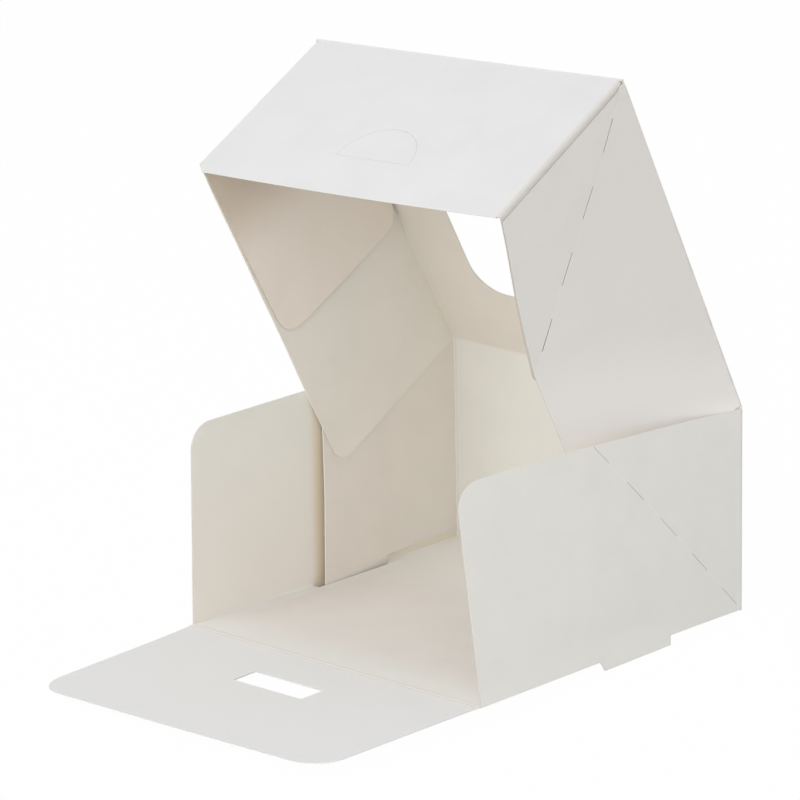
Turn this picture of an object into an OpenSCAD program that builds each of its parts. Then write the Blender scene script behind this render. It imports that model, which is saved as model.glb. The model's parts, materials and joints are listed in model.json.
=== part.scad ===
// Takeaway box: one die-cut, creased and glued sheet of white card, shown open.
// The tray stands on two small lock tabs. The lid is folded back from the tray's rear edge,
// its right side is tucked inwards, and the front flap lies out in front.
// Origin: centre of the underside of the tray's floor. +X right, +Y to the back, +Z up.

/* [Card] */
// Thickness of the card
card = 0.4; // [0.3:0.05:0.7]
// Radius of the bead that a pressed fold leaves
bead_r = 0.3; // [0.25:0.05:0.45]
// Width of a knife cut in a dashed fold
cut_w = 0.3; // [0.2:0.05:0.5]
// Length of one knife cut in a dashed fold
dash_l = 8.2; // [4:0.2:12]
// Distance from one knife cut to the next
dash_pitch = 16.5; // [12:0.5:24]

/* [Tray] */
// Width over the side walls
tray_w = 140; // [110:1:200]
// Depth from the front fold to the back face
tray_d = 142; // [120:1:200]
// Height of the lid's fold above the underside of the floor
tray_h = 77; // [60:1:100]
// Drop of the side walls' top edges below the lid's fold
wall_drop = 0.6; // [0.5:0.1:2]
// Set-back of the side walls' front edges from the front fold
wall_setback = 1.0; // [0.6:0.1:4]
// Fall of the side walls' top edges from back to front
wall_slope = 1.2; // [0:0.1:3]
// Radius of the side walls' front top corners
wall_corner_r = 9.6; // [4:0.5:20]
// Depth of the inner flaps that fold forward from the back wall
inner_flap_l = 73.5; // [55:0.5:80]
// Length of the inner flap's foot, from its front edge
inner_foot_l = 32.5; // [20:0.5:40]
// Rise of the inner flap's bottom edge behind its foot
inner_rise = 3.6; // [2:0.2:6]

/* [Lock tabs] */
// Distance from the front fold to the lock tab
tab_y = 62.2; // [50:0.2:75]
// Length of the lock tab
tab_l = 38.4; // [35:0.2:44]
// Drop of the lock tab below the floor
tab_drop = 3.6; // [2:0.2:6]
// Slant of the lock tab's front end
tab_slant = 2.4; // [0:0.2:4]

/* [Lid] */
// Angle of the lid above its closed position
lid_open = 61.5; // [50:1:75]
// Gap between the lid's sides and the tray's inner flaps
lid_gap = 0.2; // [0.15:0.05:0.6]
// Gap between the lid's front wall and the closed front flap
front_gap = 0.6; // [0.4:0.1:2]
// Height of the lid's front wall
lid_front_h = 73.4; // [56:0.2:76]
// Depth of the lid's side flaps
lid_side_h = 73; // [55:0.5:74]
// Radius of the side flaps' rear corners
lid_side_r = 7; // [4:0.5:24]
// Set-back of the side flaps from the lid's front fold
lid_side_setback = 2.2; // [1:0.1:4]
// Inward lean of the right side flap
lid_lean = 12; // [4:0.5:16]
// Length of the corner flaps that fold back from the lid's front wall
corner_flap_l = 80.5; // [76:0.5:90]
// Radius of the corner flaps' rear corners
corner_flap_r = 9; // [2:0.5:16]
// Gap at the fold between the lid and the back wall
fold_gap = 0.15; // [0.1:0.05:0.3]

/* [Window] */
// Margin at the window's sides
window_side = 26.5; // [18:0.5:36]
// Margin between the window and the lid's rear fold
window_rear = 30; // [20:0.5:40]
// Margin between the window and the lid's front fold
window_front = 27; // [18:0.5:40]
// Radius of the window's corners
window_r = 13; // [3:0.5:20]

/* [Closure] */
// Radius of the half-moon lock tongue
tongue_r = 16; // [10:0.5:20]
// Height of the tongue's fold above the front wall's free edge
tongue_y = 18.6; // [14:0.2:24]
// Clearance round the tongue
tongue_gap = 0.2; // [0.15:0.05:0.4]
// Length of the front flap
flap_l = 76.6; // [60:0.2:78]
// Droop of the front flap below level
flap_droop = 0.8; // [0:0.1:1.5]
// Narrowing of the front flap at each side of its free edge
flap_taper = 0.6; // [0:0.1:3]
// Radius of the front flap's corners
flap_corner_r = 12; // [4:0.5:20]
// Clearance of the slot at each side of the tongue
slot_side = 0.4; // [0.3:0.1:2]
// Height of the slot that takes the tongue
slot_l = 9.6; // [8:0.2:14]
// Distance from the front fold to the slot
slot_y = 20.4; // [14:0.2:21]

/* [Hidden] */
$fn = 64;

half = card / 2;
// Overlap of the two halves of a card that is folded on a dashed fold
lap = 0.15;
// Length that a corner flap's pressed fold stops short at each end
fold_stop = 0.45;
outer = [0.90, 0.89, 0.87];
inner = [0.88, 0.86, 0.81];

// Tray, from the outside in
wall_x = tray_w / 2 - half;
inner_x = wall_x - card;
back_y = tray_d / 2 - half;
front_y = -tray_d / 2;
wall_h = tray_h - wall_drop;
wall_l = back_y + half - front_y - wall_setback;
wall_front_h = wall_h - wall_slope;
inner_front_h = wall_h - wall_slope * inner_flap_l / (wall_l - wall_corner_r);
tab_start = tab_y - wall_setback;
foot_drop = card;

// Lid, in its own closed frame: the fold is the X axis and the panel runs towards -Y
side_x = inner_x - half - lid_gap - half;
corner_x = side_x - card;
lid_l = back_y - front_y - card - front_gap;
side_l = lid_l - lid_side_setback;
rear_gap = 1.3;
corner_drop = 1;
corner_slope = 2.2;
corner_fold_top = corner_drop + fold_stop;
corner_fold_low = lid_front_h - corner_drop - fold_stop;
// With one side leaning in, the front wall turns a little past square: the four folds
// that meet at the lid's corner have to stay 90, 45, 45 and 90 degrees apart
lid_tuck = asin(1 / sqrt(1 + pow(cos(lid_lean), 2))) - atan(cos(lid_lean));

// A flat piece of card, centred on its own plane
module sheet() {
    translate([0, 0, -half]) linear_extrude(card) children();
}

// Card standing across the box, outline given in X and Z
module across() {
    rotate([90, 0, 0]) sheet() children();
}

// Card standing along the box, outline given in Y and Z
module along() {
    rotate([90, 0, 90]) sheet() children();
}

// Pressed fold between two points on one straight line
module bead_x(l) {
    rotate([0, 90, 0]) cylinder(r = bead_r, h = l, center = true, $fn = 24);
}

module bead_y(l) {
    rotate([90, 0, 0]) cylinder(r = bead_r, h = l, $fn = 24);
}

module bead_z(l) {
    cylinder(r = bead_r, h = l, $fn = 24);
}

// Rectangle from one corner to another, with the radius of each corner in turn:
// low left, low right, top right, top left
module panel(p, q, r = [0, 0, 0, 0]) {
    corners = [[p[0], p[1]], [q[0], p[1]], [q[0], q[1]], [p[0], q[1]]];
    inwards = [[1, 1], [-1, 1], [-1, -1], [1, -1]];
    difference() {
        polygon(corners);
        for (i = [0:3])
            if (r[i] > 0)
                translate(corners[i]) scale_corner(inwards[i]) corner_waste(r[i]);
    }
}

// Turns a corner's waste piece to face into the panel
module scale_corner(way) {
    mirror([way[0] < 0 ? 1 : 0, 0]) mirror([0, way[1] < 0 ? 1 : 0]) children();
}

// What a corner of radius r loses
module corner_waste(r) {
    difference() {
        translate([-1, -1]) square(r + 1);
        translate([r, r]) circle(r);
    }
}

// Knife cuts along a 45 degree fold that runs from the origin towards +Y and +Z
module dashes(first, reach) {
    for (s = [first : dash_pitch : reach - 1])
        rotate([45, 0, 0])
            translate([-2 * card, s * sqrt(2), -cut_w / 2])
                cube([4 * card, min(dash_l, reach - s) * sqrt(2), cut_w]);
}

// Side wall with its lock tab, outline in Y and Z from the wall's front edge
module wall_outline() {
    panel([0, 0], [wall_l, wall_front_h], [0, 0, 0, wall_corner_r]);
    polygon([
        [wall_corner_r, wall_front_h - card], [wall_corner_r, wall_front_h],
        [wall_l, wall_h], [wall_l, wall_front_h - card]
    ]);
    polygon([
        [tab_start, card], [tab_start, 0], [tab_start + tab_slant, -tab_drop],
        [tab_start + tab_l, -tab_drop], [tab_start + tab_l, card]
    ]);
}

// Inner flap, outline in Y and Z from the back wall's fold forwards
module inner_outline() {
    foot_back = inner_flap_l - inner_foot_l;
    polygon([
        [-inner_flap_l, inner_rise], [0, inner_rise], [0, wall_h], [-inner_flap_l, inner_front_h]
    ]);
    panel([-inner_flap_l, -foot_drop], [-foot_back, inner_rise + card]);
}

// Opening left in the floor where the lock tab is cut free
module tab_window() {
    translate([-tray_w, front_y + tab_y])
        square([tray_w - wall_x - half + tab_drop, tab_l]);
}

// Side wall, glued inner flap and their folds, for the right hand side
module tray_side() {
    difference() {
        translate([wall_x, front_y + wall_setback, 0]) along() wall_outline();
        translate([wall_x + card / 2, back_y, 0])
            mirror([0, 1, 0]) dashes(2.8, wall_h + dash_l);
    }
    translate([inner_x, back_y, 0]) along() inner_outline();
    translate([inner_x, back_y, inner_rise]) bead_z(wall_h - inner_rise);
    translate([wall_x, front_y + tab_y, half]) bead_y(tab_y - wall_setback);
    translate([wall_x, back_y, half]) bead_y(tray_d - tab_y - tab_l - half);
}

module tray() {
    color(outer) {
        difference() {
            translate([0, 0, half]) sheet() difference() {
                translate([-wall_x, front_y + bead_r + fold_gap])
                    square([2 * wall_x, back_y - front_y - bead_r - fold_gap]);
                tab_window();
                mirror([1, 0]) tab_window();
            }
        }
        translate([0, back_y, 0]) across()
            panel([-inner_x, half], [inner_x, tray_h]);
        translate([0, back_y, half]) bead_x(2 * inner_x);
        translate([0, back_y, tray_h]) bead_x(2 * inner_x);
        tray_side();
        mirror([1, 0, 0]) tray_side();
    }
}

// Frame of the lid's front wall: its fold is the X axis and it hangs towards -Z
module at_front_wall() {
    translate([0, -lid_l, 0]) rotate([lid_tuck, 0, 0]) children();
}

// Side flap, outline in Y and Z, from its rear edge to its front edge
module side_outline() {
    panel([-side_l, -lid_side_h], [-rear_gap, half], [0, lid_side_r, 0, 0]);
}

// Where the lid's dashed corner fold runs, in the side flap's own plane
module behind_corner_fold() {
    polygon([[-lid_l, 0], [-lid_l, 1], [1, 1], [1, -lid_l], [0, -lid_l]]);
}

// Front part of a leaning side flap, outline behind the front wall's fold
module lean_front_outline() {
    polygon([
        [lid_side_setback, -lid_side_setback], [lid_side_setback + lap, -lid_side_setback],
        [lid_side_h + lap, -lid_side_h], [lid_side_setback, -lid_side_h]
    ]);
}

// Corner flap that is glued inside the side flap, outline behind the front wall's fold
module corner_outline() {
    difference() {
        panel(
            [0, -lid_front_h + corner_drop], [corner_flap_l, -corner_drop],
            [0, corner_flap_r, corner_flap_r, 0]
        );
        polygon([
            [0, -corner_drop], [corner_flap_l + 1, -corner_drop - corner_slope],
            [corner_flap_l + 1, 0], [0, 0]
        ]);
    }
}

// Straight left side of the lid, drawn on the right and mirrored into place
module lid_side_flat() {
    difference() {
        translate([side_x, 0, 0]) along() side_outline();
        translate([side_x, -lid_l, 0]) mirror([0, 0, 1])
            dashes(dash_l, lid_side_h - half);
    }
    translate([side_x, -rear_gap, 0]) bead_y(side_l - rear_gap);
    at_front_wall() {
        translate([corner_x, 0, 0]) along() corner_outline();
        translate([corner_x, 0, -corner_fold_low]) bead_z(corner_fold_low - corner_fold_top);
    }
}

// Right side of the lid, pushed in along the dashed corner fold
module lid_side_leaning() {
    difference() {
        union() {
            translate([side_x, 0, 0]) rotate([0, lid_lean, 0]) along()
                intersection() {
                    side_outline();
                    translate([-lap, 0]) behind_corner_fold();
                }
            at_front_wall() translate([side_x, 0, 0]) rotate([0, 0, lid_lean])
                along() lean_front_outline();
        }
        translate([side_x, 0, 0]) rotate([0, lid_lean, 0])
            translate([0, -lid_l, 0]) mirror([0, 0, 1])
                dashes(dash_l, lid_side_h - half);
    }
    translate([side_x, -rear_gap, 0]) bead_y(side_l - rear_gap);
    at_front_wall() translate([corner_x, 0, 0]) rotate([0, 0, lid_lean]) {
        along() corner_outline();
        translate([0, 0, -corner_fold_low]) bead_z(corner_fold_low - corner_fold_top);
    }
}

// Half-moon that the tongue is cut from, its fold on the X axis
module half_moon(r) {
    intersection() {
        circle(r);
        translate([-r, 0]) square([2 * r, r]);
    }
}

module lid_panel() {
    sheet() difference() {
        translate([-side_x, -lid_l])
            square([2 * side_x, lid_l - bead_r - fold_gap]);
        panel(
            [-tray_w / 2 + window_side, -lid_l + window_front],
            [tray_w / 2 - window_side, -window_rear],
            [window_r, window_r, window_r, window_r]
        );
    }
}

module lid_front_wall() {
    at_front_wall() across() difference() {
        panel([-corner_x, -lid_front_h], [corner_x, 0]);
        translate([0, -lid_front_h + tongue_y]) half_moon(tongue_r + tongue_gap);
    }
}

// The lid's frame, turned back from closed by the opening angle
module at_lid() {
    translate([0, back_y, tray_h]) rotate([-lid_open, 0, 0]) children();
}

module lid() {
    color(outer) at_lid() {
        lid_panel();
        lid_front_wall();
        translate([0, -lid_l, 0]) bead_x(2 * side_x);
        mirror([1, 0, 0]) lid_side_flat();
        lid_side_leaning();
    }
}

module lock_tongue() {
    color(inner) at_lid() at_front_wall() across()
        translate([0, -lid_front_h + tongue_y]) difference() {
            half_moon(tongue_r);
            translate([-tongue_r, -1]) square([2 * tongue_r, 1 + tongue_gap]);
        }
}

module front_flap() {
    free_x = wall_x - flap_taper;
    color(outer) translate([0, front_y, half]) rotate([flap_droop, 0, 0]) {
        sheet() difference() {
            intersection() {
                polygon([[-wall_x, 0], [wall_x, 0], [free_x, -flap_l], [-free_x, -flap_l]]);
                panel([-free_x, -flap_l], [free_x, 0], [flap_corner_r, flap_corner_r, 0, 0]);
            }
            translate([-tongue_r - slot_side, -slot_y - slot_l])
                square([2 * (tongue_r + slot_side), slot_l]);
        }
        bead_x(2 * free_x);
    }
}

tray();
lid();
front_flap();
lock_tongue();
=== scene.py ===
import json
import math

import bmesh
import bpy
from mathutils import Matrix, Vector


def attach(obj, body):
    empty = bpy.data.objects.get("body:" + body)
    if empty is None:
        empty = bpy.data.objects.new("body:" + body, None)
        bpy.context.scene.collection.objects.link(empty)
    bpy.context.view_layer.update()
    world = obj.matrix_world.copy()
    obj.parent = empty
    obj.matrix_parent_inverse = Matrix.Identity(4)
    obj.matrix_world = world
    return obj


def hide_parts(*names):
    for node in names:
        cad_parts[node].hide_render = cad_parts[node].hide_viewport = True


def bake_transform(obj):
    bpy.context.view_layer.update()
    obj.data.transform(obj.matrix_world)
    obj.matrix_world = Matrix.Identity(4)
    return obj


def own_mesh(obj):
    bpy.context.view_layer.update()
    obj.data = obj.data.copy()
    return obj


with open("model.json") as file:
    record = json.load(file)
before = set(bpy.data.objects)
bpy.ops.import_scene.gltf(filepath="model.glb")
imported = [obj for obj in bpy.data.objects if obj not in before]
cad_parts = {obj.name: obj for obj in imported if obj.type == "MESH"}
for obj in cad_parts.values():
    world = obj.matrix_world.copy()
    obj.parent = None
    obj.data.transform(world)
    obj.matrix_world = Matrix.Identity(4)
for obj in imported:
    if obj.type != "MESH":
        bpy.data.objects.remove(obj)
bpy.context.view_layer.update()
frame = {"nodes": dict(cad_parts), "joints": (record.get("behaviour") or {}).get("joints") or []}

MM = 0.001
JOINTS = {joint["name"]: joint for joint in frame["joints"]}


def joint_place(name):
    """A joint's y and z in millimetres."""
    return [round(c / MM, 3) for c in JOINTS[name]["pos_m"][1:]]


# Sizes that the solids share, in millimetres and radians
HALF = 0.2  # half the card's thickness
HALF_W, HALF_D = 70.0, 71.0  # half the tray's width and depth
BACK_Y, TRAY_H = joint_place("lid_hinge")
FRONT_Y = joint_place("flap_hinge")[0]
WALL_H = 76.4
FLAP_L = 76.6
LID_OPEN = math.radians(-JOINTS["lid_hinge"]["range_deg"][0])
LID_L = 140.8
LID_HALF_W = 68.0
SIDE_H = 73.0  # height of the lid's sides
TONGUE_V = 54.8  # from the lid's panel down to the tongue's fold
TUCK = math.radians(1.266)  # how far the lid's front wall turns past square
DASH_L, DASH_PITCH = 8.2, 16.5


# Shader maths
class Socket:
    """A shader value that can be added, multiplied and stepped."""

    def __init__(self, nodes, out):
        self.nodes, self.out = nodes, out

    def math(self, operation, *values, clamp=False):
        settings = {"operation": operation, "use_clamp": clamp}
        return self.nodes.node("ShaderNodeMath", settings, dict(enumerate((self, *values))))

    def __add__(self, other):
        return self.math("ADD", other)

    def __sub__(self, other):
        return self.math("SUBTRACT", other)

    def __rsub__(self, other):
        return self * -1.0 + other

    def __mul__(self, other):
        return self.math("MULTIPLY", other)

    __radd__ = __add__
    __rmul__ = __mul__

    def abs(self):
        return self.math("ABSOLUTE")

    def clamped(self):
        return self.math("MULTIPLY", 1.0, clamp=True)

    def step(self, a, b):
        """0 below a, 1 above b, smooth between them."""
        sockets = {"Value": self, "From Min": a, "From Max": b}
        return self.nodes.node("ShaderNodeMapRange", {"interpolation_type": "SMOOTHSTEP"}, sockets)


class Nodes:
    """The nodes of a material or a world, with short ways to build what feeds its shader."""

    def __init__(self, owner, shader):
        owner.use_nodes = True
        self.owner, self.tree = owner, owner.node_tree
        self.shader = self.tree.nodes[shader]

    def put(self, socket, value):
        if isinstance(value, Socket):
            self.tree.links.new(value.out, socket)
        else:
            socket.default_value = value

    def node(self, kind, settings, sockets, out=0):
        """One output of a new node: its settings are set first, then its sockets get values or links."""
        made = self.tree.nodes.new(kind)
        for name, value in settings.items():
            setattr(made, name, value)
        for key, value in sockets.items():
            self.put(made.inputs[key], value)
        return Socket(self, made.outputs[out])

    def feed(self, sockets):
        """Values or links for the shader's own sockets."""
        for key, value in sockets.items():
            self.put(self.shader.inputs[key], value)

    def place(self):
        return self.node("ShaderNodeTexCoord", {}, {}, "Object")

    def xyz(self):
        """The point in the row frame at rest, in millimetres, as three values."""
        parts = self.node("ShaderNodeSeparateXYZ", {}, {0: self.place()}).out.node.outputs
        return [Socket(self, part) * (1 / MM) for part in parts]

    def noise(self, scale, detail, roughness):
        sockets = {"Vector": self.place(), "Scale": scale, "Detail": detail, "Roughness": roughness}
        return self.node("ShaderNodeTexNoise", {}, sockets, "Fac")

    def mix(self, share, a, b):
        return self.node("ShaderNodeMix", {"data_type": "RGBA"}, {0: share, 6: a, 7: b}, 2)


# Card and its tones
WHITE = (1, 1, 1, 1)
BLACK = (0, 0, 0, 1)
PAINTED_GLOW = (0.075, 0.072, 0.069, 1)  # painted light: a faint glow on the lid's side beside the wall, where the wall shades it
GAIN = 1.07  # from the tone seen in the studio light to the base colour
MOTTLE = 0.03
CARD_ROUGHNESS = 0.72
CARD_SHEEN = 0.25
FIBRE_DEPTH = 0.00008


def srgb(r, g, b):
    """A colour given as 0..255 screen values."""
    return tuple(
        (c / 255 / 12.92) if c / 255 <= 0.04045 else ((c / 255 + 0.055) / 1.055) ** 2.4
        for c in (r, g, b)
    )


def tint(*rgb):
    """The base colour for a tone seen in the studio light; the light and shade painted into the tone go
    with it.
    """
    return (*(min(0.95, c * GAIN) for c in srgb(*rgb)), 1)


# Tones as each part shows them in the studio light: where parts of the same face of the card differ, the
# difference is painted light and shade.
CARD = {
    "top_white": (231, 231, 231),
    "side_white": (238, 235, 230),
    "lid_white": (232, 229, 224),
    # painted light: the lid side's triangle beyond the dashed fold is lighter, to even out its shading
    # against the rest of the side
    "lid_tri_painted_light": (239, 236, 231),
    "right_wall_white": (239, 237, 231),
    "flap_white": (241, 241, 240),
    "floor_card": (236, 231, 226),
    "wall_card": (250, 241, 234),
    "inner_flap_card": (234, 228, 220),
    "back_card": (235, 234, 227),
    "lid_side_card": (238, 234, 226),
    "corner_card": (239, 231, 221),
    "lid_card": (233, 227, 217),
    # painted shade: cut edges darker than the card, where the lamps light them strongly
    "cut_edge_shade": (226, 221, 213),
    # painted light: the front flap's cut edges lighter, out of the shade they lie in
    "flap_rim_light": (250, 249, 246),
    "rim": (250, 247, 243),
    # painted shade: the right side flap's cut edges dark, as they look in the shadow of their gap
    "lid_rim_shade": (207, 205, 203),
    "fold_white": (229, 225, 220),
    # painted shade: the corner flaps' cut edges dark, against the light they face
    "corner_rim_shade": (196, 184, 170),
    # painted highlight: the lid's fold lighter than the card beside it
    "crease_highlight": (241, 237, 229),
    # painted shade: the rims inside the dashed cuts are dark, as the cuts' gaps look
    "slit_shade": (168, 160, 150),
    "wall_slit_shade": (204, 199, 192),
}


def painted_crease_lines(m, tone):
    """Painted highlight and painted shade: the light and dark double line that a pressed fold shows beside
    the side walls.
    """
    x, y, z = m.xyz()
    out = x.abs()
    inside = y.step(-70, -60)
    light = out.step(68.5, 68.8) - out.step(69.1, 69.4)
    dark = out.step(67.7, 68.1) - out.step(68.3, 68.6)
    tone = m.mix(light * inside * 0.25, tone, tint(250, 247, 240))
    return m.mix(dark * inside * 0.2, tone, tint(205, 196, 184))


def fade_to_flap(m, tone):
    """Painted light and shade on the floor: its darker tone inside the tray turns into the front flap's
    lighter one over their fold, and it is lighter beside the left wall, along its foot and near the front
    fold. It is also lighter towards the back.
    """
    x, y, z = m.xyz()
    inside = y.step(-70, -60)
    # painted light: lighter beside the left wall, where the corner is in shade
    tone = m.mix((1 - x.step(-67.5, -61)) * inside * 0.5, tone, tint(250, 248, 242))
    # painted highlight along the left wall's foot
    tone = m.mix((1 - x.step(-69, -68.4)) * inside * 0.7, tone, tint(252, 250, 245))
    tone = painted_crease_lines(m, tone)
    tone = m.mix(y.step(0, 65), tone, tint(244, 241, 238))
    # painted light: lighter near the front fold, to meet the flap's tone
    front = (1 - y.step(-68, -44)) * y.step(-72.4, -70.2)
    tone = m.mix(front, tone, tint(240, 240, 235))
    flap_tone = m.mix(x.step(-20, 60), tint(*CARD["flap_white"]), tint(245, 245, 243))
    # painted shade: the floor's darker tone inside the tray turns into the flap's tone
    return m.mix(((y + 60) * (-1 / 36)).clamped(), tone, flap_tone)


def corner_shade(m, tone):
    """Painted shade: darker card where the corner flap turns away from the front wall, in the shade of that
    wall.
    """
    x, y, z = m.xyz()
    u = (y - BACK_Y) * -math.cos(LID_OPEN) + (z - TRAY_H) * math.sin(LID_OPEN)
    return m.mix(u.step(95, 125), tone, tint(210, 197, 182))


def lid_fall(m, tone):
    """Painted light and shade on the lid's side: a little darker towards the top, lighter and faintly
    glowing low down beside the wall, where the wall shades it.
    """
    z = m.xyz()[2]
    tone = m.mix(z.step(80, 200), tone, tint(228, 225, 220))
    # painted light: a faint glow beside the wall's top
    m.feed({"Emission Color": m.mix(z.step(71, 83), PAINTED_GLOW, BLACK), "Emission Strength": 1.0})
    return m.mix(z.step(80, 112), tint(240, 237, 233), tone)


def wall_fold(m, tone):
    """Painted highlight along the side wall's dashed fold, where its pressed line catches the light, and a
    lighter lock tab.
    """
    x, y, z = m.xyz()
    fold_z = z + z * 0.034 - z * z * 0.000265
    ridge_highlight = 1 - (fold_z + y - BACK_Y).abs().step(0.25, 0.6)
    tone = m.mix(ridge_highlight * x.step(50, 60) * 0.55, tone, tint(250, 249, 247))
    return m.mix(fold_z.step(-4, 14), tint(246, 241, 235), tone)


def wall_fall(m, tone):
    """Painted light and shade on the wall's inner face: lighter at its top and foot, darker beige under the
    inner flap's strip, and a browner shade in the gap by the inner flap.
    """
    x, y, z = m.xyz()
    tone = m.mix(z.step(15, 75), tint(240, 235, 228), tone)
    left = 1 - x.step(-60, -50)
    gap = y.step(-10, -5) * (1 - y.step(4, 10))
    tone = m.mix((1 - z.step(0.5, 1.2)) * 0.8, tone, tint(253, 245, 234))
    # painted shade: darker under the inner flap's strip
    tone = m.mix(left * y.step(8, 12), tone, tint(236, 227, 212))
    # painted shade: warm brown in the gap beside the inner flap
    return m.mix(left * gap * 0.8, tone, tint(235, 219, 193))


def rim_fall(m, tone):
    """Painted shade: the walls' cut edges are darker at the front, where the lamps light them most."""
    return m.mix(m.xyz()[1].step(-67, -58), tint(208, 203, 196), tone)


OVER = {
    "floor_card": fade_to_flap,
    "flap_white": fade_to_flap,
    "back_card": painted_crease_lines,
    "right_wall_white": wall_fold,
    "corner_card": corner_shade,
    "lid_white": lid_fall,
    "wall_card": wall_fall,
    "rim": rim_fall,
}


def card(name, colour):
    """Uncoated card: fine fibre bump, a faint cloudy mottle and what OVER adds."""
    m = Nodes(bpy.data.materials.new(name), "Principled BSDF")
    cloud = m.noise(45, 3, 0.6)
    fibre = m.noise(900, 3, 0.65)
    dark = (*(c * (1 - MOTTLE) for c in colour[:3]), 1)
    tone = m.mix(cloud.step(0.3, 0.75), colour, dark)
    if name in OVER:
        tone = OVER[name](m, tone)
    height = fibre * 0.7 + cloud * 0.6
    bump = {"Strength": 0.35, "Distance": FIBRE_DEPTH, "Height": height}
    m.feed({
        "Base Color": tone,
        "Roughness": CARD_ROUGHNESS,
        "Specular IOR Level": CARD_SHEEN,
        "Normal": m.node("ShaderNodeBump", {}, bump, "Normal"),
    })
    return m.owner


MATS = {name: card(name, tint(*rgb)) for name, rgb in CARD.items()}


# The lid's own frame: x, u from its fold to its free end, v down from its panel
def lid_uv(p):
    """A point in the row frame (mm) to (x, distance from the fold, depth below the panel)."""
    y, z = p[1] - BACK_Y, p[2] - TRAY_H
    c, s = math.cos(LID_OPEN), math.sin(LID_OPEN)
    return p[0], -c * y + s * z, -s * y - c * z


def from_lid_uv(x, u, v, open_=LID_OPEN):
    c, s = math.cos(open_), math.sin(open_)
    return Vector((x, BACK_Y - c * u - s * v, TRAY_H + s * u - c * v))


LID_ORIGIN = from_lid_uv(0, 0, 0)
U_AXIS = from_lid_uv(0, 1, 0) - LID_ORIGIN
V_AXIS = from_lid_uv(0, 0, 1) - LID_ORIGIN

# How the real card sits
HINGE_RACK = -2.68  # rise of the lid's fold at its right end, negative is down
LID_TWIST = math.radians(1.144)  # extra opening at the right edge
FLAP_RACK = 1.8  # rise of the front flap's free edge at its right end
FLAP_RIGHT_RISE = 0.5
LEAN_R, LEAN_L = 9.8, 2.9  # inward lean of the walls' front top corners
REAR_SINK, LEFT_SINK, FRONT_RISE = 1.2, 0.7, 0.5  # of the floor
REAR_NARROWING = 0.9  # of the tray's right side
WINDOW_SHIFT = 1.9  # of the window's left edge
SLOT_SHIFT = 1.2  # of the slot's lower edge
BACK_FACE_Y = 70.3  # just in front of the back wall
SEAM_FROM, SEAM_TO, SEAM_X = 69.2, 69.6, 69.64  # where the back wall's side edges are, and where they go


def unit(t):
    return max(0.0, min(1.0, t))


def ramp(t, a, b):
    """0 below a, 1 above b, smooth between them."""
    t = unit((t - a) / (b - a))
    return t * t * (3 - 2 * t)


def racked(p):
    """The tray's back and the lid's fold slope from left to right, and the floor's rear end sinks."""
    x, y, z = p
    right, left = max(0.0, x) / HALF_W, max(0.0, -x) / HALF_W
    low = 1 - unit(z / TRAY_H)
    rearward = unit((y + HALF_D) / (2 * HALF_D)) ** (2 if x > 0 else 4)
    rise = HINGE_RACK * (x / HALF_W) * max(0, z) / TRAY_H * rearward
    rise -= REAR_SINK * low * max(0.0, (y - 10) / 61) ** 1.3 * (x + HALF_W) / (2 * HALF_W)
    rise -= LEFT_SINK * low * left ** 2 * ramp(y, -40, -15) * (1 - ramp(y, 20, 60))
    return rise + FRONT_RISE * low * right ** 1.5 * unit((5 - y) / 76)


def narrow(x, y):
    """The tray's right side stands a little further in at the back."""
    return -REAR_NARROWING * ramp(y, -20, 71) * max(0.0, x) / HALF_W


def warp_tray(p):
    """The back wall's side edges move out to meet the side walls, and the tray is racked."""
    if p.y > BACK_FACE_Y and SEAM_FROM < abs(p.x) < SEAM_TO:
        p = Vector((math.copysign(SEAM_X, p.x), p.y, p.z))
    return Vector((p.x + narrow(p.x, p.y), p.y, p.z + racked(p)))


def warp_lid(p):
    """The lid's fold slopes, its panel is twisted, and its front wall flares, bows and tucks in."""
    x, u, v = lid_uv(p)
    s = x / LID_HALF_W
    bow = 1 - min(1.0, s ** 2)
    depth = v / SIDE_H
    if v < 0.4 and 5 < u < 136:
        x += WINDOW_SHIFT * ramp(x, -64, -54) * (1 - ramp(x, -20, 20))
    if x > 0:
        x += 1.6 * depth * ramp(u, 85, LID_L) * s
    else:
        x += 0.6 * s * ramp(LID_L - u, 0, 60) + 0.5 * s * depth * ramp(u, 85, LID_L)
    v *= 1 + (0.0185 + 0.0015 * s) * ramp(u, 138, LID_L)
    tuck = (0.6 + 0.4 * s + 0.55 * bow) * depth * ramp(u, 100, LID_L)
    u += (0.9 - 0.25 * bow) * ramp(u, 120, LID_L) - tuck
    q = from_lid_uv(x, u, v, LID_OPEN + LID_TWIST * x / HALF_W)
    q.z += HINGE_RACK * x / HALF_W
    return q


def warp_tongue(p):
    """The tongue lies close in its own cut."""
    x, u, v = lid_uv(p)
    return warp_lid(from_lid_uv(x * 1.006, u, v + (v - TONGUE_V) * 0.006))


def warp_flap(p):
    """The front flap's free edge is racked, and its sides and slot are not quite square."""
    x, y, z = p
    s = max(0.0, FRONT_Y - y) / FLAP_L
    if abs(x) < 17 and -102 < y < -98:
        y -= SLOT_SHIFT
    if x < 0:
        x *= 1 - 0.009 * min(1.0, 4 * s)
    y += (0.65 - 0.8 * x / HALF_W) * s
    z += FLAP_RACK * (x / HALF_W) * s + FLAP_RIGHT_RISE * (max(0.0, x) / HALF_W) ** 1.5
    return Vector((x, y, z))


# Copies of the solids
SHARP = math.radians(8)


def bisect(bm, co, no):
    geom = bm.verts[:] + bm.edges[:] + bm.faces[:]
    bmesh.ops.bisect_plane(bm, geom=geom, dist=1e-6, plane_co=co, plane_no=no)


def slice_axis(bm, axis, lo, hi, step):
    n = max(1, int(round((hi - lo) / step)))
    for i in range(1, n):
        bisect(bm, Vector(axis) * (lo + (hi - lo) * i / n), axis)


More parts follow.
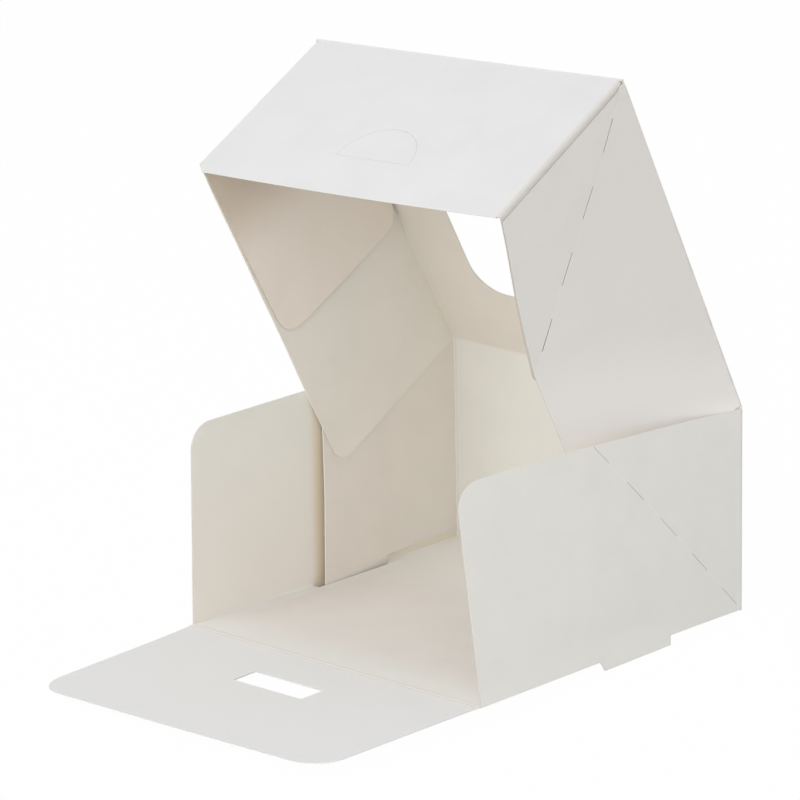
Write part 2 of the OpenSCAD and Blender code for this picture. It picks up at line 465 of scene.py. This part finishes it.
def new_object(bm, name, names):
    mesh = bpy.data.meshes.new(name)
    bm.to_mesh(mesh)
    bm.free()
    for material in names:
        mesh.materials.append(MATS[material])
    piece = bpy.data.objects.new(name, mesh)
    bpy.context.scene.collection.objects.link(piece)
    return piece


def finish_mesh(bm, name, names, body, node):
    for face in bm.faces:
        face.smooth = True
    for edge in bm.edges:
        if len(edge.link_faces) != 2 or edge.calc_face_angle(0) > SHARP:
            edge.smooth = False
    ob = new_object(bm, name, names)
    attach(ob, body)
    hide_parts(node)
    return ob


def copy_node(node, name, body, names, paint, warp, cuts=(), slices=(), drop=None):
    """A copy of a solid's mesh: cut finer, some faces left out, bent as the real card is."""
    bm = bmesh.new()
    bm.from_mesh(frame["nodes"][node].data)
    bmesh.ops.remove_doubles(bm, verts=bm.verts, dist=2e-6)
    bmesh.ops.dissolve_limit(bm, angle_limit=0.002, verts=bm.verts, edges=bm.edges)
    for co, no in cuts:
        bisect(bm, Vector(co) * MM, no)
    for axis, lo, hi, step in slices:
        slice_axis(bm, axis, lo * MM, hi * MM, step * MM)
    if drop:
        dead = [face for face in bm.faces if drop(face.calc_center_median() / MM)]
        bmesh.ops.delete(bm, geom=dead, context="FACES")
    for face in bm.faces:
        face.material_index = paint(face.calc_center_median() / MM, face.normal)
    for vert in bm.verts:
        vert.co = warp(vert.co / MM) * MM
    return finish_mesh(bm, name, names, body, node)


# Materials of the copies: 0 outside, 1 inside, 2 and 3 as each piece names them
FLOOR_TOP, FLOOR_LOW = 0.55, -0.12
SLICE = 12  # width of the strips that can bend
X_AXIS, Y_AXIS, Z_AXIS = (1, 0, 0), (0, 1, 0), (0, 0, 1)


def paint_tray(c, n):
    if c.y > BACK_FACE_Y and abs(n.x) > 0.7:
        return 0
    if c.y > 70.4 and abs(n.y) > 0.9:
        return 2 if n.y < 0 else 0
    if abs(n.z) > 0.9 and c.z < 0.6 or c.y < -69 and c.z < 0.8 and n.z > 0.05:
        return 1 if n.z > 0 else 0
    return 3


def paint_lid(c, n):
    x, u, v = lid_uv(c)
    if abs(v) < 0.25 and abs(n.dot(V_AXIS)) > 0.9:
        return 1 if n.dot(V_AXIS) > 0 else 0
    if u > 138 and abs(n.dot(U_AXIS)) > 0.9:
        return 1 if n.dot(U_AXIS) < 0 else 0
    return 2


def paint_flap(c, n):
    if abs(n.z) > 0.8 or c.y > -72.5 and n.z > 0.05:
        return 1 if n.z > 0 else 0
    return 2


# The tray's copy keeps the floor, the back wall and their folds; plates stand in for the side walls
WALL_EDGE_X, WALL_FACE_X = 69.1, 69.62


def tray_waste(c):
    out = abs(c.x)
    above = c.z > FLOOR_TOP or c.z < FLOOR_LOW
    return c.y < BACK_FACE_Y and (out > WALL_FACE_X or out > WALL_EDGE_X and above)


copy_node(
    "tray",
    "tray_base",
    "tray",
    ("side_white", "floor_card", "back_card", "cut_edge_shade"),
    paint_tray,
    warp_tray,
    [((side * x, 0, 0), X_AXIS) for side in (-1, 1) for x in (WALL_EDGE_X, WALL_FACE_X)]
    + [((0, 0, FLOOR_TOP), Z_AXIS), ((0, 0, FLOOR_LOW), Z_AXIS), ((0, BACK_FACE_Y, 0), Y_AXIS)],
    ((X_AXIS, -69, 69, SLICE), (Y_AXIS, -70, 70, SLICE), (Z_AXIS, 0.6, 76, SLICE)),
    tray_waste,
)

# The lid's copy keeps the panel and the front wall; plates stand in for its sides and corner flaps
PANEL_X = 67.4  # half width of what is kept
PANEL_V, BEAD_V = 0.35, 0.95  # underside of the panel, and of the front fold's bead
FRONT_U, FOLD_U = 138.9, 140.3  # inner face of the front wall, and start of its fold
LOW_CORNER_V, LOW_CORNER_X, LOW_CORNER_RISE = 70.4, 3.0, 3.6  # the front wall's slanted lower corner


def lid_waste(c):
    x, u, v = lid_uv(c)
    if u > 137 and (v - LOW_CORNER_V) * LOW_CORNER_RISE > (x + PANEL_X) * LOW_CORNER_X:
        return True
    return v > PANEL_V and (abs(x) > PANEL_X or u < FRONT_U) and not (u > FOLD_U and v < BEAD_V)


lid_cuts = [((side * PANEL_X, 0, 0), X_AXIS) for side in (-1, 1)]
lid_cuts += [(from_lid_uv(0, 0, v), V_AXIS) for v in (PANEL_V, BEAD_V)]
lid_cuts += [(from_lid_uv(0, u, 0), U_AXIS) for u in (FRONT_U, FOLD_U)]
slant = V_AXIS * LOW_CORNER_RISE - Vector((LOW_CORNER_X, 0, 0))
lid_cuts += [(from_lid_uv(-PANEL_X, 0, LOW_CORNER_V), slant)]
origin_u, origin_v = LID_ORIGIN.dot(U_AXIS), LID_ORIGIN.dot(V_AXIS)
lid = copy_node(
    "lid",
    "lid_panel",
    "lid",
    ("top_white", "lid_card", "cut_edge_shade"),
    paint_lid,
    warp_lid,
    lid_cuts,
    (
        (X_AXIS, -67, 67, SLICE),
        (U_AXIS, origin_u, origin_u + 138, SLICE),
        (V_AXIS, origin_v + 1, origin_v + SIDE_H, SLICE),
    ),
    lid_waste,
)
copy_node(
    "lock_tongue",
    "tongue_card",
    "lock_tongue",
    ("top_white", "lid_card", "top_white"),
    paint_lid,
    warp_tongue,
)
flap = copy_node(
    "front_flap",
    "flap_card",
    "front_flap",
    ("side_white", "flap_white", "flap_rim_light"),
    paint_flap,
    warp_flap,
    (),
    ((X_AXIS, -69, 69, SLICE), (Y_AXIS, -147, -72, SLICE)),
)
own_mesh(flap)


# Plates of card cut to an outline
PLATE_STEP = 5.0


def arc(cx, cy, r, a0, a1, n=10):
    angles = [math.radians(a0 + (a1 - a0) * i / n) for i in range(n + 1)]
    return [(cx + r * math.cos(a), cy + r * math.sin(a)) for a in angles]


def dashes(start, count):
    """Spans of a dashed cut that runs at 45 degrees."""
    root = math.sqrt(2)
    starts = [start + DASH_PITCH * i for i in range(count)]
    return [(a * root, (a + DASH_L) * root) for a in starts]


class Slits:
    """A dashed cut through a plate: its start, its direction, its width and the spans that are cut."""

    def __init__(self, start, direction, width, spans):
        self.start = Vector((*start, 0))
        self.along = Vector((*direction, 0)).normalized()
        self.across = Vector((-direction[1], direction[0], 0)).normalized()
        self.width, self.spans = width, spans

    def cut(self, bm):
        for side in (-1, 1):
            bisect(bm, self.start + self.across * side * self.width / 2, self.across)
        for span in self.spans:
            for end in span:
                bisect(bm, self.start + self.along * end, self.along)
        dead = [face for face in bm.faces if self.holds(face.calc_center_median() - self.start)]
        bmesh.ops.delete(bm, geom=dead, context="FACES")

    def holds(self, c):
        run = c.dot(self.along)
        return abs(c.dot(self.across)) < self.width / 2 and any(a < run < b for a, b in self.spans)

    def borders(self, point):
        c = point - self.start
        return abs(c.dot(self.across)) < self.width and 1 < c.dot(self.along) < self.spans[-1][1] + 0.5


def plate(name, outline, at, body, node, names, slits=None, lines=(), tri=None):
    """A sheet of card cut to an outline, bent by at(a, b, t): t is the depth from its mid plane.

    names lists its materials: outside, inside, rim, the painted shade in its slits and the outside where
    tri() is true.
    """
    bm = bmesh.new()
    bm.faces.new([bm.verts.new((a, b, 0)) for a, b in outline])
    for axis, spots in ((X_AXIS, [p[0] for p in outline]), (Y_AXIS, [p[1] for p in outline])):
        slice_axis(bm, axis, min(spots), max(spots), PLATE_STEP)
    for co, no in lines:
        bisect(bm, Vector((*co, 0)), Vector((*no, 0)))
    if slits:
        slits.cut(bm)
    rim = []
    for edge in bm.edges:
        if len(edge.link_faces) == 1:
            a, b = (vert.co.copy() for vert in edge.verts)
            rim.append((a, b, 3 if slits and slits.borders((a + b) / 2) else 2))
    out = bmesh.new()
    for t, index in ((HALF, 0), (-HALF, 1)):
        made = {vert: out.verts.new(at(vert.co.x, vert.co.y, t) * MM) for vert in bm.verts}
        for face in bm.faces:
            copied = out.faces.new([made[vert] for vert in face.verts])
            in_tri = tri and index == 0 and tri(face.calc_center_median())
            copied.material_index = 4 if in_tri else index
    for a, b, index in rim:
        quad = [(a, HALF), (b, HALF), (b, -HALF), (a, -HALF)]
        copied = out.faces.new([out.verts.new(at(c.x, c.y, t) * MM) for c, t in quad])
        copied.material_index = index
    bm.free()
    bmesh.ops.remove_doubles(out, verts=out.verts, dist=1e-6)
    bmesh.ops.recalc_face_normals(out, faces=out.faces)
    return finish_mesh(out, name, names, body, node)


# Side walls and inner flaps of the tray
WALL_X, INNER_X = 69.8, 69.4
WALL_L = 141.8  # from the front fold back to the back wall's fold
WALL_CORNER_R = 9.6
TAB_END, TAB_DROP, TAB_SLANT = 100.6, 3.6, 2.4
INNER_L, INNER_H = 75.1, 75.0
INNER_FOOT, INNER_RISE, FOOT_DROP = 41, 3.2, 0.9


def wall_dx(s, y, z):
    """How far a side wall leans inwards at a point."""
    front = unit((HALF_D - y) / (2 * HALF_D))
    lean = -LEAN_R * front ** 0.8 if s > 0 else LEAN_L * front ** 1.3
    return lean * max(0.0, z) / WALL_H


def leaned(s, x, mid_x, y, z):
    """A point of a side wall at x, with its mid plane at mid_x, moved as the real card leans."""
    dx = wall_dx(s, y, z)
    drop = dx * dx / (2 * max(1.0, z))
    return Vector((x + dx + narrow(x, y), y, z + racked((mid_x, y, z)) - drop))


def wall_at(s):
    def at(a, b, t):
        return leaned(s, s * (WALL_X + t), s * WALL_X, a + FRONT_Y, b)
    return at


def inner_at(s):
    """The left inner flap's glue lets it stand off a little at its free edge."""
    def at(a, b, t):
        stand = 0.3 if s > 0 else 2.5 - 1.0 * ramp(b, 30, 70)
        x = s * (INNER_X + t) - s * stand * ramp(a, 12, 74)
        return leaned(s, x, s * INNER_X, BACK_Y - a, b)
    return at


def wall_outline(a, top, tab):
    """A side wall's outline: a is its front edge, top its height there, tab the start of its lock tab."""
    line = [(a, HALF), (tab, HALF), (tab, 0), (tab + TAB_SLANT, -TAB_DROP), (TAB_END, -TAB_DROP)]
    line += [(TAB_END, HALF), (WALL_L, HALF), (WALL_L, WALL_H)]
    return line + arc(a + WALL_CORNER_R, top - WALL_CORNER_R, WALL_CORNER_R, 90, 180)


inner_outline = [(0, INNER_RISE), (INNER_FOOT, INNER_RISE), (INNER_FOOT, -FOOT_DROP)]
inner_outline += [(INNER_L + 0.7, -FOOT_DROP), (INNER_L + 0.4, 20), (INNER_L, 55), (INNER_L, INNER_H)]
inner_outline += [(0, WALL_H)]
for side, s, outside, shape in (
    ("right", 1, "right_wall_white", (0, 75.8, 61.6)),
    ("left", -1, "side_white", (1, 74.6, 62.2)),
):
    wall = plate(
        side + "_wall",
        wall_outline(*shape),
        wall_at(s),
        "tray",
        "tray",
        (outside, "wall_card", "rim", "wall_slit_shade"),
        slits=Slits((WALL_L, 0), (-1, 1), 0.16, dashes(2.8, 5)),
    )
    inner_flap = plate(
        side + "_inner_flap",
        inner_outline,
        inner_at(s),
        "tray",
        "tray",
        ("side_white", "inner_flap_card", "rim"),
    )
    for ob in (wall, inner_flap):
        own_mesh(ob)


# Side flaps and corner flaps of the lid
SIDE_X, CORNER_X = 68.8, 68.28
LEAN = math.radians(12)  # of the lid's right side flap
FOLD_R = 1.0
CORNER_L, CORNER_R = 80.5, 9
CORNER_OFF = 1.8  # standoff of the left corner flap's far end
SIDE_SETBACK = 2.2


def to_lid(x, u, v):
    return warp_lid(from_lid_uv(x, u, v))


def front_to_lid(x, w, v):
    """A point given in the front wall's own frame: w back from its fold, v down it."""
    u = LID_L - w * math.cos(TUCK) - v * math.sin(TUCK)
    return to_lid(x, u, v * math.cos(TUCK) - w * math.sin(TUCK))


def right_side_at(u, v, t):
    """The right side flap leans in; its corner beyond the dashed fold goes with the corner flap."""
    w = LID_L - u
    v *= 1 - 0.005 * ramp(w, 15, 95)
    x = SIDE_X + t * math.cos(LEAN)
    if w < v:
        return front_to_lid(x - w * math.sin(LEAN), w * math.cos(LEAN) + t * math.sin(LEAN), v)
    return to_lid(x - v * math.sin(LEAN), u, v * math.cos(LEAN) + t * math.sin(LEAN))


def left_dx(w, v):
    """The left side flap lies inside the tray's inner flap."""
    return (v / SIDE_H) * (1.7 * ramp(w, 0, 45) + 2.2 * ramp(w, 60, 110) - 0.5 * ramp(w, 112, 135))


def left_v(w, v):
    """The left side's free edge runs at a slight angle to the lid's panel."""
    k = 0.953 + 0.050 * (1 - math.exp(-max(0.0, w) / 35)) + 0.026 * ramp(w, 60, 115)
    return v * (k + 0.010 * ramp(w, 70, 105))


def left_side_at(u, v, t):
    v = left_v(LID_L - u, v)
    return to_lid(-SIDE_X - t + left_dx(LID_L - u, v), u, v)


def bend(w, t):
    """Round the fold: w runs past it onto the front wall where it is negative."""
    if w > FOLD_R:
        return t, w
    a = min((FOLD_R - w) / FOLD_R, math.pi / 2)
    past = max(0.0, (FOLD_R - w) - FOLD_R * math.pi / 2)
    return -FOLD_R + (FOLD_R + t) * math.cos(a) - past, FOLD_R - (FOLD_R + t) * math.sin(a)


def right_corner_at(w, v, t):
    x, y = bend(w, t)
    c, s = math.cos(LEAN), math.sin(LEAN)
    return front_to_lid(CORNER_X + x * c - y * s, y * c + x * s, v)


def left_corner_at(w, v, t):
    v = left_v(w, v)
    x, y = bend(w, t)
    off = CORNER_OFF * (max(0.0, w) / 80) ** 2 * max(0.0, 1 - v / SIDE_H) ** 0.7
    return front_to_lid(-CORNER_X - x + left_dx(max(0.0, y), v) + off, y, v)


def side_outline(start, rear, r):
    """A side flap's outline: start and rear are its rear end at the panel and at its free edge."""
    end = LID_L - SIDE_SETBACK
    line = [(start, 0), (LID_L - 0.6, 0), (end, 4.5), (end, SIDE_H)]
    return line + arc(rear + r, SIDE_H - r, r, 90, 180)


def corner_outline(skew):
    """A glued corner flap; skew is how much shorter it is at its lower end."""
    edge = SIDE_H + 0.1
    arc_x = CORNER_L - CORNER_R
    line = [(-0.7, 0.9), (0.3, 0.9)] + arc(arc_x, 12, CORNER_R, -90, 0)
    line += arc(arc_x - skew, edge - CORNER_R, CORNER_R, 0, 90)
    return line + [(1.6, edge), (0.3, SIDE_H), (-0.7, SIDE_H)]


def beyond_dashes(c):
    return LID_L - c.x < c.y


fold_cuts = [((c, 0), (1, 0)) for c in (-0.5, -0.3, -0.1, 0.1, 0.3, 0.5, 0.7, 1.0)]
lid_parts = [lid]
for side, at, shape, rim in (
    ("right", right_side_at, (1.3, 1.3, 7), "lid_rim_shade"),
    ("left", left_side_at, (0.2, 2.1, 7.5), "lid_side_card"),
):
    lid_parts.append(plate(
        side + "_side_flap",
        side_outline(*shape),
        at,
        "lid",
        "lid",
        ("lid_white", "lid_side_card", rim, "slit_shade", "lid_tri_painted_light"),
        slits=Slits((LID_L, 0), (-1, 1), 0.3, dashes(9.0, 4)),
        lines=[((LID_L, 0), (1, 1))],
        tri=beyond_dashes,
    ))
for side, at, skew in (("right", right_corner_at, 0), ("left", left_corner_at, 1.7)):
    lid_parts.append(plate(
        side + "_corner_flap",
        corner_outline(skew),
        at,
        "lid",
        "lid",
        ("fold_white", "corner_card", "corner_rim_shade"),
        lines=fold_cuts,
    ))
for ob in lid_parts:
    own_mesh(ob)

# Folds that cross a joint
STRIP_STEP = 6.0
STRIP_SHARP = math.radians(40)


def strip(name, path, x0, x1, warp, names, upper, half=0.21):
    """A narrow piece of card along a fold; path lists points of its mid line in the plane x = 0.

    upper gives the material of each stretch of its upper side; its underside has 1 and its rim 2.
    """
    bm = bmesh.new()
    n = max(1, int(round((x1 - x0) / STRIP_STEP)))
    m = len(path)
    rows = []
    for i in range(n + 1):
        x = x0 + (x1 - x0) * i / n
        row = []
        for side in (1, -1):
            for k, p in enumerate(path):
                along = path[min(k + 1, m - 1)] - path[max(k - 1, 0)]
                away = Vector((0, -along.z, along.y)).normalized() * half * side
                row.append(bm.verts.new(warp(Vector((x, p.y, p.z)) + away) * MM))
        rows.append(row)
    for a, b in zip(rows, rows[1:]):
        for k in range(m - 1):
            bm.faces.new((a[k], a[k + 1], b[k + 1], b[k])).material_index = upper[k]
            bm.faces.new((a[m + k], b[m + k], b[m + k + 1], a[m + k + 1])).material_index = 1
        for k in (0, m - 1):
            bm.faces.new((a[k], b[k], b[m + k], a[m + k])).material_index = 2
    for row in (rows[0], rows[-1]):
        for k in range(m - 1):
            bm.faces.new((row[k], row[k + 1], row[m + k + 1], row[m + k])).material_index = 2
    bmesh.ops.recalc_face_normals(bm, faces=bm.faces)
    for face in bm.faces:
        face.smooth = True
    for edge in bm.edges:
        edge.smooth = edge.calc_face_angle(0) < STRIP_SHARP
    ob = new_object(bm, name, names)
    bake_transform(ob)


def hinge_warp(p):
    return warp_tray(p) if p[2] < TRAY_H else warp_lid(p)


PLAIN = (0, 0, 0, 0)
hinge_path = [Vector((0, BACK_Y, TRAY_H - 1.2)), Vector((0, BACK_Y, TRAY_H - 0.4))]
hinge_path += [Vector((0, BACK_Y - 0.1, TRAY_H + 0.1)), from_lid_uv(0, 0.5, 0), from_lid_uv(0, 1.3, 0)]
strip(
    "lid_fold",
    hinge_path,
    -70.0,
    69.1,
    hinge_warp,
    ("back_card", "side_white", "side_white", "crease_highlight", "lid_card"),
    (0, 0, 3, 4),
)
front_path = [Vector((0, FRONT_Y + d, HALF)) for d in (1.6, 0.6, 0.0, -0.6, -1.6)]
strip(
    "front_fold",
    front_path,
    -69.5,
    69.5,
    warp_flap,
    ("floor_card", "side_white", "floor_card"),
    PLAIN,
)
chord_v = [TONGUE_V + d for d in (1.2, 0.4, 0.0, -0.4, -1.2)]
chord = [from_lid_uv(0, LID_L - HALF - v * math.sin(TUCK), v) for v in chord_v]
strip(
    "tongue_fold",
    chord,
    -15.9,
    15.9,
    warp_lid,
    ("lid_card", "top_white", "top_white"),
    PLAIN,
    half=0.235,
)

# Studio: white floor and room, soft lights
FLOOR_Z = -0.0037  # under the lock tabs
FLOOR_SEEN = 0.985  # share of plain white that the camera sees on the floor, the rest takes the shadow
ROOM_LIGHT = 0.54

bpy.ops.mesh.primitive_plane_add(size=30, location=(0, 0, FLOOR_Z))
floor = bpy.context.active_object
floor.name = "floor"
ground = Nodes(bpy.data.materials.new("floor_white"), "Principled BSDF")
ground.feed({"Base Color": (0.93, 0.93, 0.93, 1), "Roughness": 0.9, "Specular IOR Level": 0.0})
seen = ground.node("ShaderNodeLightPath", {}, {}, "Is Camera Ray") * FLOOR_SEEN
lit = Socket(ground, ground.shader.outputs[0])
glow = ground.node("ShaderNodeEmission", {}, {"Color": WHITE, "Strength": 1.0})
surface = ground.node("ShaderNodeMixShader", {}, {0: seen, 1: lit, 2: glow})
ground.put(ground.tree.nodes["Material Output"].inputs["Surface"], surface)
floor.data.materials.append(ground.owner)

scene = bpy.context.scene
room = Nodes(bpy.data.worlds.new("studio"), "Background")
scene.world = room.owner
camera_ray = room.node("ShaderNodeLightPath", {}, {}, "Is Camera Ray")
strength = room.node("ShaderNodeMapRange", {}, {"Value": camera_ray, "To Min": ROOM_LIGHT, "To Max": 1.0})
room.feed({"Color": WHITE, "Strength": strength})

LIGHT_AIM = Vector((0, 0, 0.08))
for name, place, size, watts in (
    ("key", (0.9, -1.1, 0.95), 1.2, 4.3),
    ("front", (0.0, -1.5, 0.6), 1.0, 3.5),
    ("left", (-0.5, -1.3, 0.8), 1.0, 4.4),
    ("low", (0.8, -1.1, 0.35), 0.7, 1.5),
):
    data = bpy.data.lights.new(name, "AREA")
    data.shape = "DISK"
    data.size = size
    data.energy = watts
    light = bpy.data.objects.new(name, data)
    light.location = place
    light.rotation_euler = (LIGHT_AIM - Vector(place)).to_track_quat("-Z", "Y").to_euler()
    scene.collection.objects.link(light)

# Camera at the photo's angle
PICTURE_W = 800  # pixels
CAM_F = 3362.4  # focal length in pixels of that picture
SENSOR_W = 36
CAM_AZ, CAM_PITCH, CAM_ROLL = (math.radians(a) for a in (43.4336, 14.441, -1.3144))
CAM_POS = Vector((0.775905, -0.85255, 0.377754))
level = math.cos(CAM_PITCH)
forward = Vector((-math.sin(CAM_AZ) * level, math.cos(CAM_AZ) * level, -math.sin(CAM_PITCH)))
right = Vector((math.cos(CAM_AZ), math.sin(CAM_AZ), 0))
up = right.cross(forward)
cos_roll, sin_roll = math.cos(CAM_ROLL), math.sin(CAM_ROLL)
right, up = cos_roll * right + sin_roll * up, -sin_roll * right + cos_roll * up
cam_data = bpy.data.cameras.new("camera")
cam_data.sensor_fit = "HORIZONTAL"
cam_data.sensor_width = SENSOR_W
cam_data.lens = CAM_F / PICTURE_W * SENSOR_W
cam_data.clip_start = 0.01
cam = bpy.data.objects.new("camera", cam_data)
cam.matrix_world = Matrix.Translation(CAM_POS) @ Matrix([right, up, -forward]).transposed().to_4x4()
scene.collection.objects.link(cam)
scene.camera = cam
scene.view_settings.view_transform = "Standard"
